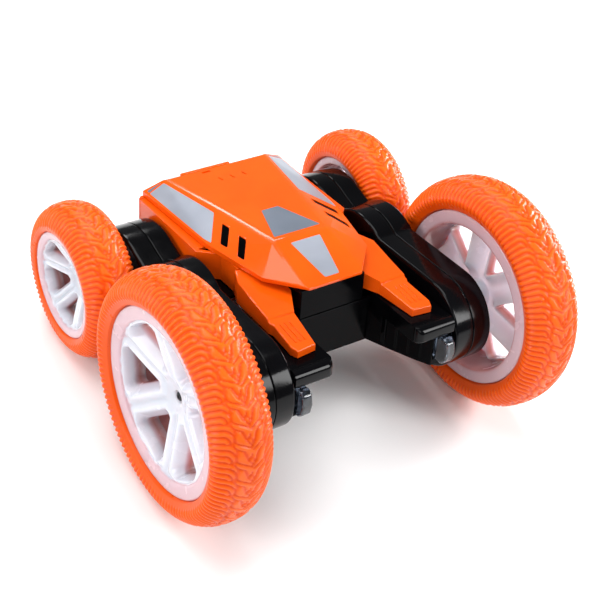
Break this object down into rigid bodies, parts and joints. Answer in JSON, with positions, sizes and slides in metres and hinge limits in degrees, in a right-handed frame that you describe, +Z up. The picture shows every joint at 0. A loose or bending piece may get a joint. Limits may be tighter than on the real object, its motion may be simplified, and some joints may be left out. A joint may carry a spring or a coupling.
{
  "type": "rc stunt car",
  "caption": "Low remote-controlled stunt car: a folded hood on a forked body slung between two swinging gear-case arms that carry large front and small rear balloon wheels.",
  "frame": {"origin": "on the ground under the middle of the overall box", "axes": "+Z up, the front of the car faces -Y, the left side of the car is +X"},
  "size_m": [0.137, 0.1354, 0.08],
  "materials": {
    "orange_plastic": "glossy moulded shell",
    "black_plastic": "polished black moulding",
    "tyre_vinyl": "satin soft vinyl",
    "hub_plastic": "milky translucent plastic",
    "clear_plastic": "clear moulded lens",
    "led_resin": "clear resin",
    "gear_plastic": "unpainted acetal",
    "switch_plastic": "satin",
    "battery_sleeve": "shrunk sleeve",
    "board": "solder mask",
    "motor_steel": "plated can",
    "steel": "plated"
  },
  "bodies": {
    "car_body": {"hood": "orange_plastic", "chassis_tub": "black_plastic", "chassis_deck": "black_plastic", "battery_cell": "battery_sleeve", "battery_cover": "black_plastic", "circuit_board": "board", "power_switch_body": "switch_plastic", "rear_panel": "orange_plastic", "left_motor": "motor_steel", "left_pivot_bush": "switch_plastic", "left_quarter_panel": "orange_plastic", "left_fender": "orange_plastic", "left_lamp_housing": "black_plastic", "left_bumper_bar": "black_plastic", "left_lamp_lens": "clear_plastic", "left_led": "led_resin", "right_motor": "motor_steel", "right_pivot_bush": "switch_plastic", "right_quarter_panel": "orange_plastic", "right_fender": "orange_plastic", "right_lamp_housing": "black_plastic", "right_bumper_bar": "black_plastic", "right_lamp_lens": "clear_plastic", "right_led": "led_resin"},
    "power_switch": {"power_switch_knob": "black_plastic"},
    "left_arm": {"left_arm_inner_case": "black_plastic", "left_arm_outer_case": "black_plastic", "left_front_idler_pin": "steel", "left_rear_idler_pin": "steel"},
    "left_drive": {"left_drive_pinion": "gear_plastic"},
    "left_front_idler": {"left_front_idler_gear": "gear_plastic"},
    "left_front_wheel": {"left_front_tyre": "tyre_vinyl", "left_front_hub": "hub_plastic", "left_front_hub_screw": "steel", "left_front_axle": "steel", "left_front_axle_gear": "gear_plastic"},
    "left_rear_idler": {"left_rear_idler_gear": "gear_plastic"},
    "left_rear_wheel": {"left_rear_tyre": "tyre_vinyl", "left_rear_hub": "hub_plastic", "left_rear_hub_screw": "steel", "left_rear_axle": "steel", "left_rear_axle_gear": "gear_plastic"},
    "right_arm": {"right_arm_inner_case": "black_plastic", "right_arm_outer_case": "black_plastic", "right_front_idler_pin": "steel", "right_rear_idler_pin": "steel"},
    "right_drive": {"right_drive_pinion": "gear_plastic"},
    "right_front_idler": {"right_front_idler_gear": "gear_plastic"},
    "right_front_wheel": {"right_front_tyre": "tyre_vinyl", "right_front_hub": "hub_plastic", "right_front_hub_screw": "steel", "right_front_axle": "steel", "right_front_axle_gear": "gear_plastic"},
    "right_rear_idler": {"right_rear_idler_gear": "gear_plastic"},
    "right_rear_wheel": {"right_rear_tyre": "tyre_vinyl", "right_rear_hub": "hub_plastic", "right_rear_hub_screw": "steel", "right_rear_axle": "steel", "right_rear_axle_gear": "gear_plastic"}
  },
  "joints": [
    {"name": "left_arm_swing", "type": "hinge", "parent": "car_body", "child": "left_arm", "pos_m": [0.034, 0.00667, 0.03333], "axis": [1, 0, 0], "range_deg": [-25, 25]},
    {"name": "left_front_wheel_spin", "type": "hinge", "parent": "left_arm", "child": "left_front_wheel", "pos_m": [0.0584, -0.02769, 0.04], "axis": [1, 0, 0], "continuous": true},
    {"name": "left_rear_wheel_spin", "type": "hinge", "parent": "left_arm", "child": "left_rear_wheel", "pos_m": [0.0554, 0.04103, 0.02667], "axis": [1, 0, 0], "continuous": true},
    {"name": "left_drive_spin", "type": "hinge", "parent": "left_arm", "child": "left_drive", "pos_m": [0.0374, 0.00667, 0.03333], "axis": [1, 0, 0], "continuous": true},
    {"name": "left_front_idler_spin", "type": "hinge", "parent": "left_arm", "child": "left_front_idler", "pos_m": [0.0374, -0.00855, 0.03629], "axis": [1, 0, 0], "continuous": true},
    {"name": "left_rear_idler_spin", "type": "hinge", "parent": "left_arm", "child": "left_rear_idler", "pos_m": [0.0374, 0.02336, 0.0301], "axis": [1, 0, 0], "continuous": true},
    {"name": "right_arm_swing", "type": "hinge", "parent": "car_body", "child": "right_arm", "pos_m": [-0.034, 0.00667, 0.03333], "axis": [1, 0, 0], "range_deg": [-25, 25]},
    {"name": "right_front_wheel_spin", "type": "hinge", "parent": "right_arm", "child": "right_front_wheel", "pos_m": [-0.0584, -0.02769, 0.04], "axis": [1, 0, 0], "continuous": true},
    {"name": "right_rear_wheel_spin", "type": "hinge", "parent": "right_arm", "child": "right_rear_wheel", "pos_m": [-0.0554, 0.04103, 0.02667], "axis": [1, 0, 0], "continuous": true},
    {"name": "right_drive_spin", "type": "hinge", "parent": "right_arm", "child": "right_drive", "pos_m": [-0.0374, 0.00667, 0.03333], "axis": [1, 0, 0], "continuous": true},
    {"name": "right_front_idler_spin", "type": "hinge", "parent": "right_arm", "child": "right_front_idler", "pos_m": [-0.0374, -0.00855, 0.03629], "axis": [1, 0, 0], "continuous": true},
    {"name": "right_rear_idler_spin", "type": "hinge", "parent": "right_arm", "child": "right_rear_idler", "pos_m": [-0.0374, 0.02336, 0.0301], "axis": [1, 0, 0], "continuous": true},
    {"name": "power_switch_slide", "type": "slide", "parent": "car_body", "child": "power_switch", "axis": [0, 0.9817, -0.1905], "range_m": [0, 0.003]}
  ],
  "couplings": [
    {"joint": "left_rear_wheel_spin", "follows": "left_front_wheel_spin", "ratio": 1.5},
    {"joint": "left_drive_spin", "follows": "left_front_wheel_spin", "ratio": 1.8},
    {"joint": "left_front_idler_spin", "follows": "left_front_wheel_spin", "ratio": -0.85714},
    {"joint": "left_rear_idler_spin", "follows": "left_front_wheel_spin", "ratio": -0.75},
    {"joint": "right_rear_wheel_spin", "follows": "right_front_wheel_spin", "ratio": 1.5},
    {"joint": "right_drive_spin", "follows": "right_front_wheel_spin", "ratio": 1.8},
    {"joint": "right_front_idler_spin", "follows": "right_front_wheel_spin", "ratio": -0.85714},
    {"joint": "right_rear_idler_spin", "follows": "right_front_wheel_spin", "ratio": -0.75}
  ]
}
